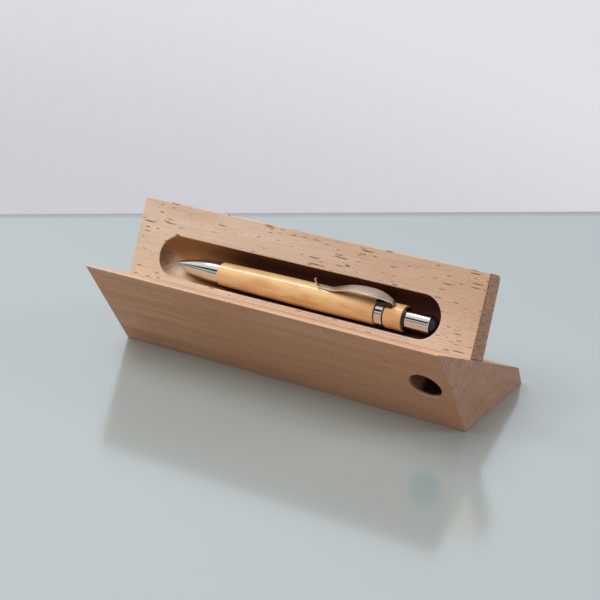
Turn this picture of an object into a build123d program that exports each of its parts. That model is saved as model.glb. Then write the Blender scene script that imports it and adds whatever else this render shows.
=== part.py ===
from build123d import *
from math import asin, atan2, cos, hypot, radians, sin
import os

# A beech pen box in two pieces, with a bamboo click pen lying in it.
# X runs along the box, -Y is the front, Z is up. The origin is the middle of the
# footprint, on the surface that the box stands on. All sizes are in millimetres.

# Base block: a wedge whose front face leans out towards the user.
BASE_LENGTH = 180.0
FRONT_EDGE_HEIGHT = 46.3
FRONT_OVERHANG = 25.5
SOLE_DEPTH = 52.7
BACK_EDGE_HEIGHT = 8.8
BACK_EDGE_LEAN = 3.5
FRONT_EDGE_ROUND = 0.4
BACK_EDGE_ROUND = 0.8
SOLE_ARRIS = 0.4

# Blind hole in the front face, for standing a pen in.
PEN_HOLE_D = 14.4
PEN_HOLE_DEPTH = 10.0
PEN_HOLE_FROM_RIGHT = 12.2
PEN_HOLE_BELOW_EDGE = 24.8
PEN_HOLE_MOUTH = 0.5

# Board that stands square on the sloping top and holds the pen.
BOARD_SETBACK = 31.9
BOARD_HEIGHT = 36.6
BOARD_FOOT = 12.9
BOARD_HEAD = 11.0
BOARD_END_INSET = 0.6
BOARD_BACK_ROUND = 2.4
BOARD_ARRIS = 0.5
SEAM_GAP = 0.05

# Trough cut into the board with a round-nosed cutter. It is longer than the pen by a room
# at each end, and the wood beside it is shared out between left and right.
TROUGH_WIDTH = 19.3
TROUGH_RISE = 12.4
TROUGH_DEPTH = 10.6
TROUGH_TIP_ROOM = 9.6
TROUGH_END_ROOM = 1.4
TROUGH_LEFT_SHARE = 0.4578
TROUGH_RIM = 0.35

# Disc magnets let in flush, one pair at each end of the seam.
MAGNET_D = 8.0
MAGNET_T = 2.5
MAGNET_FROM_END = 7.6
MAGNET_GLUE = 0.1

# Pen: places along the pen are counted from its writing tip. It lies against the trough
# a part of a turn beyond the lowest place, towards the back, with its clip turned forward.
PEN_GAP = 0.12
PEN_REST_TURN = 20.0
CLIP_TURN = 15.0
NOSE_LENGTH = 24.4
NOSE_TIP_D = 2.5
NOSE_BORE_D = 2.1
NOSE_END_D = 10.0
NOSE_BULGE = 1.15
NOSE_SPIGOT = 7.0
NOSE_GUIDE = 2.5
LOWER_BARREL_LENGTH = 82.0
LOWER_BARREL_FRONT_D = 10.6
LOWER_BARREL_BELLY_D = 11.8
LOWER_BARREL_BACK_D = 11.5
BAMBOO_BORE_D = 8.9
BAMBOO_EDGE = 0.4
GASKET_T = 0.6
GASKET_D = 11.2
RING_LENGTH = 3.6
RING_D = 11.5
UPPER_BARREL_LENGTH = 8.7
UPPER_BARREL_D = 11.5
UPPER_BARREL_BELLY_D = 11.55
COLLAR_LENGTH = 1.0
COLLAR_D = 10.0
LINER_WALL = 0.7
LINER_FIT = 0.05

# Push button and its soft end.
PUSHER_D = 8.5
PUSHER_OUT = 11.7
PUSHER_WALL = 0.6
PUSHER_SKIRT = 8.0
PUSHER_FIT = 0.08
PUSHER_EDGE = 0.4
STROKE = 5.0
STROKE_MARGIN = 1.5
SOFT_TIP_D = 6.8
SOFT_TIP_LENGTH = 3.2
SOFT_TIP_PLUG_D = 5.0
SOFT_TIP_PLUG_LENGTH = 4.0

# Click mechanism, refill and spring.
CAM_TEETH = 4
CAM_WALL = 0.8
CAM_LENGTH = 22.0
CAM_SLOT_WIDTH = 1.2
CAM_FIT = 0.1
PLUNGER_LENGTH = 13.0
PLUNGER_TOOTH = 1.6
ROTOR_LENGTH = 6.5
ROTOR_HEAD = 3.0
ROTOR_BORE_D = 1.0
REFILL_D = 3.0
REFILL_WALL = 0.35
REFILL_STOP_LENGTH = 0.8
REFILL_POINT_D = 2.3
REFILL_POINT_LENGTH = 12.0
REFILL_RETRACT = 1.5
# Side of the turned point, as shares of its length and of its diameter.
REFILL_POINT_SIDE = ((0.0, 0.39), (0.21, 0.52), (0.29, 0.74), (0.58, 0.83), (0.75, 1.0))
SPRING_SEAT = 8.0
SPRING_WIRE = 0.5
SPRING_D = 4.4
SPRING_LENGTH = 20.0
SPRING_TURNS = 10

# Sprung clip: a curved leaf that pivots on the nose of a dark mount.
CLIP_SHEET = 0.6
CLIP_WIDTH = 5.5
CLIP_HEEL_WIDTH = 1.5
CLIP_LIP_WIDTH = 1.2
CLIP_ROOT_WIDTH = 1.8
CLIP_LIP_HEIGHT = 2.7
CLIP_BOW = 4.15
CLIP_HEEL_FROM_RING = 28.2
CLIP_HEEL_GAP = 0.15
CLIP_HEEL_SLOPE = 5.0
CLIP_HEEL_BEND_R = 1.6
CLIP_HEEL_TURN = 88.0
CLIP_LIP_SPAN = 3.0
CLIP_PIVOT_FIT = 0.15
CLIP_CURL_FROM = 5.0
CLIP_CURL_TO = 66.0
# Places on the leaf, from the heel to the root: shares of its length with shares of its
# bow, and shares of its length with shares of its width.
CLIP_LEAF_LINE = ((0.16, 0.14), (0.31, 0.52), (0.47, 0.89), (0.7, 1.0), (0.905, 0.85))
CLIP_LEAF_PLAN = ((0.15, 0.46), (0.45, 0.82), (0.7, 1.0), (0.905, 0.83))
MOUNT_WIDTH = 4.0
MOUNT_HEIGHT = 2.1
MOUNT_LENGTH = 6.0
MOUNT_NOSE_R = 1.45

# Distance within which two faces or edges count as the same.
TOUCH = 0.01

# Section of the base, as (y, z), with the footprint's middle at y = 0. The thin front
# edge is rounded, and the front face and the top run off its round as tangents.
total_depth = FRONT_OVERHANG + SOLE_DEPTH
half_length = BASE_LENGTH / 2
front_foot = Vector(FRONT_OVERHANG - total_depth / 2, 0)
back_foot = Vector(total_depth / 2, 0)
back_edge = Vector(total_depth / 2 - BACK_EDGE_LEAN, BACK_EDGE_HEIGHT)
edge_center = Vector(FRONT_EDGE_ROUND - total_depth / 2, FRONT_EDGE_HEIGHT - FRONT_EDGE_ROUND)


def tangent(start, side):
    """Unit direction from a point to the front edge's round, on its left (1) or right (-1)."""
    reach = edge_center - start
    turn = side * asin(FRONT_EDGE_ROUND / reach.length)
    heading = atan2(reach.Y, reach.X) + turn
    return Vector(cos(heading), sin(heading))


along_top = -tangent(back_edge, -1)
above_top = Vector(-along_top.Y, along_top.X)
down_front = -tangent(front_foot, 1)
into_front = Vector(-down_front.Y, down_front.X)
top_start = edge_center + above_top * FRONT_EDGE_ROUND
front_start = edge_center - into_front * FRONT_EDGE_ROUND


def section_point(rise, depth):
    """Point (y, z) at a rise above the board's foot and a depth behind its face."""
    foot = top_start + along_top * BOARD_SETBACK
    return foot + above_top * (rise + SEAM_GAP) + along_top * depth


def bar(outline, length):
    """Bar along X, centred, whose section is the closed outline of (y, z) points."""
    face = Plane.YZ * make_face(Polyline(*[(p.X, p.Y) for p in outline], close=True))
    return extrude(face, length / 2, both=True)


def rod(center, direction, radius, depth):
    """Cylinder that starts at a point and runs along a direction."""
    return extrude(Plane(origin=center, z_dir=direction) * Circle(radius), depth)


def edges_at(solid, place):
    """Long edges that run along X through the point (y, z)."""
    return [
        e
        for e in solid.edges().filter_by(Axis.X)
        if hypot(e.center().Y - place.X, e.center().Z - place.Y) < TOUCH
    ]


def seam_discs(upward, spare):
    """Discs at the two magnet places, above or below the seam, larger by a spare all round."""
    normal = above_top if upward else -above_top
    seam = section_point(0, BOARD_FOOT / 2) - above_top * (0 if upward else SEAM_GAP)
    inset = half_length - MAGNET_FROM_END
    return [
        rod((x, seam.X, seam.Y), (0, normal.X, normal.Y), MAGNET_D / 2 + spare, MAGNET_T + spare)
        for x in (-inset, inset)
    ]


# Base block.
edge_middle = edge_center + (above_top - into_front).normalized() * FRONT_EDGE_ROUND
edge_arc = ThreePointArc(
    (front_start.X, front_start.Y), (edge_middle.X, edge_middle.Y), (top_start.X, top_start.Y)
)
base_sides = Polyline(
    (top_start.X, top_start.Y),
    (back_edge.X, back_edge.Y),
    (back_foot.X, back_foot.Y),
    (front_foot.X, front_foot.Y),
    (front_start.X, front_start.Y),
)
base_block = extrude(Plane.YZ * make_face(Curve() + [edge_arc, base_sides]), half_length, both=True)
base_block = fillet(edges_at(base_block, back_edge), BACK_EDGE_ROUND)
sole_edges = edges_at(base_block, front_foot) + edges_at(base_block, back_foot)
base_block = fillet(sole_edges, SOLE_ARRIS)
hole_mouth = front_start + down_front * PEN_HOLE_BELOW_EDGE
hole_x = half_length - PEN_HOLE_FROM_RIGHT
hole_direction = (0, into_front.X, into_front.Y)
hole_center = (hole_x, hole_mouth.X, hole_mouth.Y)
base_block -= rod(hole_center, hole_direction, PEN_HOLE_D / 2, PEN_HOLE_DEPTH)
mouth_plane = Plane(origin=hole_center, z_dir=(0, -into_front.X, -into_front.Y))
mouth_edges = [
    e
    for e in base_block.edges().filter_by(GeomType.CIRCLE)
    if abs(mouth_plane.to_local_coords(e.center()).Z) < TOUCH
]
base_block = chamfer(mouth_edges, PEN_HOLE_MOUTH)
base_block -= seam_discs(False, MAGNET_GLUE)

# Places along the pen, from its tip.
ring_start = NOSE_LENGTH + LOWER_BARREL_LENGTH
ring_end = ring_start + RING_LENGTH + 2 * GASKET_T
upper_end = ring_end + UPPER_BARREL_LENGTH
collar_end = upper_end + COLLAR_LENGTH
pusher_start = collar_end - PUSHER_SKIRT
pusher_end = collar_end + PUSHER_OUT
pen_length = pusher_end + SOFT_TIP_LENGTH
cam_end = pusher_start - STROKE - STROKE_MARGIN
cam_start = cam_end - CAM_LENGTH

# Board with its trough.
board_outline = [
    section_point(0, 0),
    section_point(0, BOARD_FOOT),
    section_point(BOARD_HEIGHT, BOARD_HEAD),
    section_point(BOARD_HEIGHT, 0),
]
pen_board = bar(board_outline, BASE_LENGTH - 2 * BOARD_END_INSET)
head_back = section_point(BOARD_HEIGHT, BOARD_HEAD)
head_front = section_point(BOARD_HEIGHT, 0)
pen_board = fillet(edges_at(pen_board, head_back), BOARD_BACK_ROUND)
pen_board = fillet(edges_at(pen_board, head_front), BOARD_ARRIS)

trough_r = TROUGH_WIDTH / 2
trough_wall = TROUGH_DEPTH - trough_r
trough_length = pen_length + TROUGH_TIP_ROOM + TROUGH_END_ROOM
trough_start = -half_length + TROUGH_LEFT_SHARE * (BASE_LENGTH - trough_length)
trough_left = trough_start + trough_r
trough_run = trough_length - TROUGH_WIDTH
trough_mid = trough_left + trough_run / 2
rim_center = section_point(TROUGH_RISE, 0)
trough_axis = section_point(TROUGH_RISE, trough_wall)
face_plane = Plane(
    origin=(trough_mid, rim_center.X, rim_center.Y),
    x_dir=(1, 0, 0),
    z_dir=(0, -along_top.X, -along_top.Y),
)
trough = extrude(face_plane * SlotCenterToCenter(trough_run, TROUGH_WIDTH), -trough_wall)
trough += rod((trough_left, trough_axis.X, trough_axis.Y), (1, 0, 0), trough_r, trough_run)
for x in (trough_left, trough_left + trough_run):
    trough += Pos(x, trough_axis.X, trough_axis.Y) * Sphere(trough_r)
pen_board -= trough
rim_edges = [
    e
    for e in pen_board.edges()
    if abs(face_plane.to_local_coords(e.center()).Z) < TOUCH
    and abs(face_plane.to_local_coords(e.center()).Y) < trough_r + TOUCH
]
pen_board = fillet(rim_edges, TROUGH_RIM)
pen_board -= seam_discs(True, MAGNET_GLUE)

# The pen's axis is as far from the trough's as the room round its belly allows.
rest_turn = radians(PEN_REST_TURN)
pen_room = trough_r - LOWER_BARREL_BELLY_D / 2 - PEN_GAP
pen_axis = trough_axis + Vector(sin(rest_turn), -cos(rest_turn)) * pen_room
pen_place = Location(
    (trough_start + TROUGH_TIP_ROOM, pen_axis.X, pen_axis.Y),
    (CLIP_TURN, 0, 0),
)


def turned(outline):
    """Solid turned about the pen's axis from a closed outline of (place, radius)."""
    return revolve(Plane.XZ * make_face(Polyline(*outline, close=True)), Axis.X)


def tube(start, end, outer_d, bore_d):
    """Plain ring or tube about the pen's axis."""
    return turned(
        [(start, bore_d / 2), (end, bore_d / 2), (end, outer_d / 2), (start, outer_d / 2)]
    )


def barrel(start, end, diameters, bore_d):
    """Bamboo tube whose outside bows through its front, middle and back diameter."""
    front, middle, back = [d / 2 for d in diameters]
    bow = ThreePointArc(
        (start + BAMBOO_EDGE, front), ((start + end) / 2, middle), (end - BAMBOO_EDGE, back)
    )
    rest = Polyline(
        (end - BAMBOO_EDGE, back),
        (end, back - BAMBOO_EDGE),
        (end, bore_d / 2),
        (start, bore_d / 2),
        (start, front - BAMBOO_EDGE),
        (start + BAMBOO_EDGE, front),
    )
    return revolve(Plane.XZ * make_face(Curve() + [bow, rest]), Axis.X)


# Fixed pieces of the pen.
liner_d = BAMBOO_BORE_D - 2 * LINER_FIT
liner_bore = liner_d - 2 * LINER_WALL
thread_d = liner_bore - 2 * LINER_FIT
nose_curve = ThreePointArc(
    (0, NOSE_TIP_D / 2),
    (NOSE_LENGTH / 2, (NOSE_TIP_D + NOSE_END_D) / 4 + NOSE_BULGE),
    (NOSE_LENGTH, NOSE_END_D / 2),
)
nose_rest = Polyline(
    (NOSE_LENGTH, NOSE_END_D / 2),
    (NOSE_LENGTH, thread_d / 2),
    (NOSE_LENGTH + NOSE_SPIGOT, thread_d / 2),
    (NOSE_LENGTH + NOSE_SPIGOT, SPRING_D / 2 + CAM_FIT),
    (SPRING_SEAT, SPRING_D / 2 + CAM_FIT),
    (SPRING_SEAT, REFILL_POINT_D / 2 + CAM_FIT),
    (SPRING_SEAT - NOSE_GUIDE, REFILL_POINT_D / 2 + CAM_FIT),
    (NOSE_GUIDE, NOSE_BORE_D / 2),
    (0, NOSE_BORE_D / 2),
    (0, NOSE_TIP_D / 2),
)
nose_cone = revolve(Plane.XZ * make_face(Curve() + [nose_curve, nose_rest]), Axis.X)

lower_barrel = barrel(
    NOSE_LENGTH,
    ring_start,
    (LOWER_BARREL_FRONT_D, LOWER_BARREL_BELLY_D, LOWER_BARREL_BACK_D),
    BAMBOO_BORE_D,
)
barrel_liner = tube(NOSE_LENGTH, cam_start, liner_d, liner_bore)
front_gasket = tube(ring_start, ring_start + GASKET_T, GASKET_D, BAMBOO_BORE_D)
joint_ring = tube(ring_start + GASKET_T, ring_end - GASKET_T, RING_D, BAMBOO_BORE_D)
rear_gasket = tube(ring_end - GASKET_T, ring_end, GASKET_D, BAMBOO_BORE_D)
upper_barrel = barrel(
    ring_end,
    upper_end,
    (UPPER_BARREL_D, UPPER_BARREL_BELLY_D, UPPER_BARREL_D),
    BAMBOO_BORE_D,
)
end_collar = tube(upper_end, collar_end, COLLAR_D, PUSHER_D + 2 * PUSHER_FIT)

# Push button: a thin chrome cup with a soft dome plugged into its end.
pusher_bore = PUSHER_D - 2 * PUSHER_WALL
plug_hole_d = SOFT_TIP_PLUG_D + 2 * PUSHER_FIT
pusher = turned(
    [
        (pusher_start, pusher_bore / 2),
        (pusher_end - PUSHER_WALL, pusher_bore / 2),
        (pusher_end - PUSHER_WALL, plug_hole_d / 2),
        (pusher_end, plug_hole_d / 2),
        (pusher_end, PUSHER_D / 2 - PUSHER_EDGE),
        (pusher_end - PUSHER_EDGE, PUSHER_D / 2),
        (pusher_start, PUSHER_D / 2),
    ]
)
plug_start = pusher_end - SOFT_TIP_PLUG_LENGTH
dome_side = Polyline(
    (pusher_end, SOFT_TIP_D / 2),
    (pusher_end, SOFT_TIP_PLUG_D / 2),
    (plug_start, SOFT_TIP_PLUG_D / 2),
    (plug_start, 0),
    (pusher_end + SOFT_TIP_LENGTH, 0),
)
diagonal = cos(radians(45))
dome_curve = ThreePointArc(
    (pusher_end + SOFT_TIP_LENGTH, 0),
    (pusher_end + SOFT_TIP_LENGTH * diagonal, SOFT_TIP_D / 2 * diagonal),
    (pusher_end, SOFT_TIP_D / 2),
)
soft_tip = revolve(Plane.XZ * make_face(Curve() + [dome_side, dome_curve]), Axis.X)

# Click mechanism: a grooved sleeve, a toothed plunger and the rotor that it pushes.
cam_bore = liner_d - 2 * CAM_WALL
cam_sleeve = tube(cam_start, cam_end, liner_d, cam_bore)
groove_reach = cam_bore / 2 + CAM_WALL / 2
for i in range(CAM_TEETH):
    groove = Pos(cam_start, 0, 0) * Box(
        CAM_LENGTH, groove_reach, CAM_SLOT_WIDTH, align=(Align.MIN, Align.MIN, Align.CENTER)
    )
    cam_sleeve -= Rot(360 * i / CAM_TEETH, 0, 0) * groove

plunger_d = cam_bore - 2 * CAM_FIT
plunger_back = plug_start - PUSHER_FIT
plunger_front = cam_end - PLUNGER_LENGTH
tooth_pitch = 180 / CAM_TEETH
tooth_width = plunger_d * sin(radians(tooth_pitch / 2))


def crown(front, facing, phase):
    """Bars with a V section that cut a crown of teeth into a tube's end, at a place along the
    pen, into the tube by facing (1 or -1), and turned about the pen by phase degrees."""
    notch = Plane.XZ * make_face(
        Polyline(
            (front - facing * TOUCH, -tooth_width / 2),
            (front - facing * TOUCH, tooth_width / 2),
            (front + facing * PLUNGER_TOOTH, 0),
            close=True,
        )
    )
    bars = extrude(notch, plunger_d, both=True)
    return [Rot(phase + tooth_pitch * i, 0, 0) * bars for i in range(CAM_TEETH)]


plunger = tube(plunger_front, plunger_back, plunger_d, REFILL_D)
plunger += tube(pusher_start, plunger_back, pusher_bore - 2 * LINER_FIT, REFILL_D)
for notch in crown(plunger_front, 1, 0):
    plunger -= notch
rotor_back = plunger_front + PLUNGER_TOOTH / 2
rotor_front = rotor_back - ROTOR_HEAD
refill_bore = REFILL_D - 2 * REFILL_WALL
rotor_stem_d = refill_bore - 2 * LINER_FIT
rotor = tube(rotor_front, rotor_back, plunger_d, ROTOR_BORE_D)
rotor += tube(rotor_front - ROTOR_LENGTH, rotor_front, rotor_stem_d, ROTOR_BORE_D)
for notch in crown(rotor_back, -1, tooth_pitch / 2):
    rotor -= notch

# Refill: a tube of ink with a turned brass point, held back by a spring.
point_end = REFILL_RETRACT + REFILL_POINT_LENGTH
stop_start = SPRING_SEAT + SPRING_LENGTH
stop_end = stop_start + REFILL_STOP_LENGTH
refill_tube = turned(
    [
        (point_end, refill_bore / 2),
        (rotor_front, refill_bore / 2),
        (rotor_front, REFILL_D / 2),
        (stop_end, REFILL_D / 2),
        (stop_end, SPRING_D / 2),
        (stop_start, SPRING_D / 2),
        (stop_start, REFILL_D / 2),
        (point_end, REFILL_D / 2),
    ]
)
point_side = [
    (REFILL_RETRACT + REFILL_POINT_LENGTH * along, REFILL_POINT_D / 2 * across)
    for along, across in REFILL_POINT_SIDE
]
refill_point = turned(
    [(REFILL_RETRACT, 0)] + point_side + [(point_end, REFILL_POINT_D / 2), (point_end, 0)]
)
coil_r = (SPRING_D - SPRING_WIRE) / 2
coil = Helix(
    pitch=(SPRING_LENGTH - SPRING_WIRE) / SPRING_TURNS,
    height=SPRING_LENGTH - SPRING_WIRE,
    radius=coil_r,
    center=(SPRING_SEAT + SPRING_WIRE / 2, 0, 0),
    direction=(1, 0, 0),
)
return_spring = sweep(Plane(origin=coil @ 0, z_dir=coil % 0) * Circle(SPRING_WIRE / 2), path=coil)

# Clip mount: a saddle on the ring and the upper barrel, with a round nose at its back.
saddle_r = max(RING_D, UPPER_BARREL_D) / 2 + LINER_FIT
mount_start = ring_start + GASKET_T
mount_end = mount_start + MOUNT_LENGTH
mount_top = saddle_r + MOUNT_HEIGHT
pivot = Vector(mount_end, mount_top - MOUNT_NOSE_R)
mount_side = make_face(
    Curve()
    + [
        ThreePointArc(
            (pivot.X, pivot.Y - MOUNT_NOSE_R),
            (pivot.X + MOUNT_NOSE_R, pivot.Y),
            (pivot.X, pivot.Y + MOUNT_NOSE_R),
        ),
        Polyline(
            (pivot.X, mount_top),
            (mount_start, mount_top),
            (mount_start, 0),
            (pivot.X, 0),
            (pivot.X, pivot.Y - MOUNT_NOSE_R),
        ),
    ]
)
clip_mount = extrude(Plane.XZ * mount_side, MOUNT_WIDTH / 2, both=True)
clip_mount -= turned([(0, 0), (pen_length, 0), (pen_length, saddle_r), (0, saddle_r)])

# Clip: one strip of sheet, bent along its length and cut to a leaf in plan.
curl_r = MOUNT_NOSE_R + CLIP_PIVOT_FIT + CLIP_SHEET / 2
belly_r = LOWER_BARREL_BELLY_D / 2
heel = Vector(ring_start - CLIP_HEEL_FROM_RING, belly_r + CLIP_HEEL_GAP + CLIP_SHEET / 2)
leaf_base_z = belly_r + CLIP_SHEET / 2
leaf_length = pivot.X - heel.X


def off_pivot(angle):
    """Point on the curl round the mount's nose, at an angle in degrees."""
    return pivot + Vector(cos(radians(angle)), sin(radians(angle))) * curl_r


curl = ThreePointArc(
    off_pivot(CLIP_CURL_FROM),
    off_pivot((CLIP_CURL_FROM + CLIP_CURL_TO) / 2),
    off_pivot(CLIP_CURL_TO),
)
leaf_knots = [
    (heel.X + leaf_length * along, leaf_base_z + CLIP_BOW * up) for along, up in CLIP_LEAF_LINE
]
heel_slope = radians(CLIP_HEEL_SLOPE)
leaf_bow = Spline(
    [curl @ 1] + leaf_knots[::-1] + [heel],
    tangents=(curl % 1, (-cos(heel_slope), -sin(heel_slope))),
)
heel_bend = JernArc(
    start=leaf_bow @ 1, tangent=leaf_bow % 1, radius=CLIP_HEEL_BEND_R, arc_size=-CLIP_HEEL_TURN
)
lip = Line(heel_bend @ 1, heel_bend @ 1 + (heel_bend % 1) * CLIP_LIP_HEIGHT)
clip_line = Plane.XZ * Wire([curl, leaf_bow, heel_bend, lip])
strip_end = Plane(origin=clip_line @ 0, x_dir=(0, 1, 0), z_dir=clip_line % 0)
strip = sweep(strip_end * Rectangle(CLIP_WIDTH, CLIP_SHEET), path=clip_line)
leaf_side = [(heel.X - CLIP_LIP_SPAN, CLIP_LIP_WIDTH / 2), (heel.X, CLIP_HEEL_WIDTH / 2)]
leaf_side += [
    (heel.X + leaf_length * along, CLIP_WIDTH / 2 * across) for along, across in CLIP_LEAF_PLAN
]
leaf_side += [(pivot.X + curl_r + CLIP_SHEET, CLIP_ROOT_WIDTH / 2)]
near_side = Spline(*leaf_side)
far_side = Spline(*[(x, -y) for x, y in leaf_side])
leaf_ends = [Line(near_side @ 0, far_side @ 0), Line(near_side @ 1, far_side @ 1)]
leaf_plan = make_face(Curve() + [near_side, far_side] + leaf_ends)
clip = strip & extrude(leaf_plan, leaf_base_z + CLIP_BOW + 2 * CLIP_LIP_HEIGHT)

# Every piece by its name, the pen's own ones moved to where the pen lies.
pen_pieces = {
    "nose_cone": nose_cone,
    "lower_barrel": lower_barrel,
    "barrel_liner": barrel_liner,
    "front_gasket": front_gasket,
    "joint_ring": joint_ring,
    "rear_gasket": rear_gasket,
    "upper_barrel": upper_barrel,
    "end_collar": end_collar,
    "clip_mount": clip_mount,
    "clip": clip,
    "cam_sleeve": cam_sleeve,
    "pusher": pusher,
    "soft_tip": soft_tip,
    "plunger": plunger,
    "rotor": rotor,
    "refill_tube": refill_tube,
    "refill_point": refill_point,
    "return_spring": return_spring,
}
pieces = {
    "base_block": base_block,
    "pen_board": pen_board,
    "base_magnets": Compound(seam_discs(False, 0)),
    "board_magnets": Compound(seam_discs(True, 0)),
}
for name, piece in pen_pieces.items():
    pieces[name] = pen_place * piece

os.makedirs("parts", exist_ok=True)
for name, piece in pieces.items():
    piece.label = name
    export_step(piece, "parts/" + name + ".step")
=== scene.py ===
from math import asin, atan2, ceil, cos, pi, radians, sin

import bmesh
import bpy
import numpy as np
from mathutils import Matrix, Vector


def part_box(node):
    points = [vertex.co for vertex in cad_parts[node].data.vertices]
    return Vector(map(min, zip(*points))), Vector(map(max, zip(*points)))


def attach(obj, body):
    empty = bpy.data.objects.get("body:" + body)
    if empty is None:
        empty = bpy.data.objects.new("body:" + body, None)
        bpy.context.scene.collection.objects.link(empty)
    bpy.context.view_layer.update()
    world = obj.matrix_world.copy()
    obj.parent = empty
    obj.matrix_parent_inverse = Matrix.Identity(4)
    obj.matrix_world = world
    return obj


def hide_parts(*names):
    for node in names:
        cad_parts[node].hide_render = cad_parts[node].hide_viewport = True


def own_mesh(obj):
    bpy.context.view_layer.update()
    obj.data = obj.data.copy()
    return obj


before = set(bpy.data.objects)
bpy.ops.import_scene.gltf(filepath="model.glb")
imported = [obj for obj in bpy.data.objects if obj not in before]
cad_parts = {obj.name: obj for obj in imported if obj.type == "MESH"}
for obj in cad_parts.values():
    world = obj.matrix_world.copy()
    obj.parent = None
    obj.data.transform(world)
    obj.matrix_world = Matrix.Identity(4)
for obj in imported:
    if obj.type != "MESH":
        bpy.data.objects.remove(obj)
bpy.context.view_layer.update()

MM = 0.001

# Beech base block.
# The lower part is one wedge of steamed beech, planed and sanded, whose front face leans
# out over the table. A blind hole is drilled into the front face near the right end, and
# a disc magnet is let into the sloping top near each end.
BASE_LENGTH = 180.0
FRONT_HEIGHT = 46.3
FRONT_OVERHANG = 25.5
SOLE_DEPTH = 52.7
BACK_HEIGHT = 8.8
BACK_LEAN = 3.5
FRONT_ROUND = 0.4
BACK_ROUND = 0.8
SOLE_ARRIS = 0.4
END_ARRIS = 0.28
HOLE_D = 14.4
HOLE_DEPTH = 10.0
HOLE_FROM_RIGHT = 12.2
HOLE_BELOW_EDGE = 24.8
HOLE_MOUTH = 0.5
MAGNET_D = 8.0
MAGNET_T = 2.5
MAGNET_FROM_END = 7.6
MAGNET_GLUE = 0.1
PATCH_CUTS = 24
PATCH_MARGIN = 4.5
# A flat's border has one more ring of points this far inside it, so that the flat shades flat,
# and points of a piece that lie closer together than WELD are joined.
HOLD = 0.06
WELD = 0.0015
# The angle round the log's pith is counted in mm at about the blocks' distance from it.
LOG_RADIUS = 80.0
# A wall's painted shade stops this far short of the block's ends.
SHADE_FROM_END = 2.0
SMOOTH = {"interpolation_type": "SMOOTHSTEP"}


def fill(node, sockets):
    """Gives each named or numbered socket a plain value, or links another node's output to it."""
    for socket, value in sockets.items():
        if isinstance(value, bpy.types.NodeSocket):
            node.id_data.links.new(value, node.inputs[socket])
        else:
            node.inputs[socket].default_value = value


def add(tree, kind, sockets=None, out=0, **settings):
    """Adds a node with its settings and links, and gives its output out."""
    node = tree.nodes.new("ShaderNode" + kind)
    for name, value in settings.items():
        setattr(node, name, value)
    fill(node, sockets or {})
    return node.outputs[out]


def color(code):
    """Linear RGBA from an sRGB hex code: c / 12.92 up to 0.04045, else ((c + 0.055) / 1.055) ^ 2.4."""
    c = np.array([int(code[i : i + 2], 16) for i in (0, 2, 4)]) / 255
    linear = np.where(c <= 0.04045, c / 12.92, ((c + 0.055) / 1.055) ** 2.4)
    return (*linear.tolist(), 1.0)


def blank(name):
    """New material, its node tree, its Principled shader and the place on the piece in mm."""
    material = bpy.data.materials.new(name)
    material.use_nodes = True
    tree = material.node_tree
    place = add(tree, "TexCoord", out="Object")
    mm = add(tree, "VectorMath", {0: place, "Scale": 1 / MM}, operation="SCALE")
    return material, tree, tree.nodes["Principled BSDF"], mm


def pattern(tree, place, size, detail, low, high, start=0.0, stop=1.0, drift=0.0):
    """Noise whose patches are size mm along each axis, plus a drift, as a smooth step that goes
    from start to stop while the noise goes from low to high."""
    counted = add(tree, "VectorMath", {0: place, 1: size}, operation="DIVIDE")
    noise = add(tree, "TexNoise", {"Vector": counted, "Scale": 1.0, "Detail": detail})
    noise = add(tree, "Math", {0: noise, 1: drift}, operation="ADD")
    return add(tree, "MapRange", {0: noise, 1: low, 2: high, 3: start, 4: stop}, **SMOOTH)


def layered(tree, below, above, mask, depth=1.0):
    """Lays one colour over another as strongly as a mask times depth."""
    share = add(tree, "Math", {0: mask, 1: depth}, operation="MULTIPLY")
    return add(tree, "Mix", {0: share, 6: below, 7: above}, 2, data_type="RGBA")


def painted_shade(
    tree, mm, wood, tint, most, center, axis, radius, inward, depths, toward, facings, every_x=None,
    lighter_shade=None,
):
    """Wood with painted shade on the wall of a cut, where the wall faces away from the light: a dark
    tint over it, at most by the share most. Five smooth steps keep it to that wall: the distance
    |(p - center) x axis| from the cut's centre line, up to radius; the depth (p - center) . inward,
    where the painted shade sets in between the first two depths and ends at the third; the facing
    normal . toward, from the first of facings to the second, plus a step between the places
    every_x, past which every wall is shaded; and |x|, short of the ends. The last argument, if
    given, is a lighter tint where more light reaches, and the two places between which it darkens
    to the tint."""
    off = add(tree, "VectorMath", {0: mm, 1: center}, operation="SUBTRACT")
    out = add(tree, "VectorMath", {0: off, 1: axis}, operation="CROSS_PRODUCT")
    out = add(tree, "VectorMath", {0: out}, "Value", operation="LENGTH")
    below = add(tree, "VectorMath", {0: off, 1: inward}, "Value", operation="DOT_PRODUCT")
    normal = add(tree, "TexCoord", out="Normal")
    faced = add(tree, "VectorMath", {0: normal, 1: toward}, "Value", operation="DOT_PRODUCT")
    x = add(tree, "SeparateXYZ", {0: mm})
    if every_x:
        onward = add(tree, "MapRange", {0: x, 1: every_x[0], 2: every_x[1]}, **SMOOTH)
        faced = add(tree, "Math", {0: faced, 1: onward}, operation="ADD")
    shaded = add(tree, "MapRange", {0: faced, 1: facings[0], 2: facings[1], 4: most}, **SMOOTH)
    from_middle = add(tree, "Math", {0: x}, operation="ABSOLUTE")
    stops_at = BASE_LENGTH / 2 - SHADE_FROM_END
    for value, low, high in (
        (out, radius + 0.6, radius + 0.2),
        (below, depths[0], depths[1]),
        (below, depths[2] + 0.6, depths[2] + 0.2),
        (from_middle, stops_at, stops_at - 1),
    ):
        inside = add(tree, "MapRange", {0: value, 1: low, 2: high}, **SMOOTH)
        shaded = add(tree, "Math", {0: shaded, 1: inside}, operation="MULTIPLY")
    shade_tone = color(tint)
    if lighter_shade:
        darker = add(tree, "MapRange", {0: x, 1: lighter_shade[1], 2: lighter_shade[2]}, **SMOOTH)
        shade_tone = layered(tree, color(lighter_shade[0]), shade_tone, darker)
    return layered(tree, wood, shade_tone, shaded)


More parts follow.
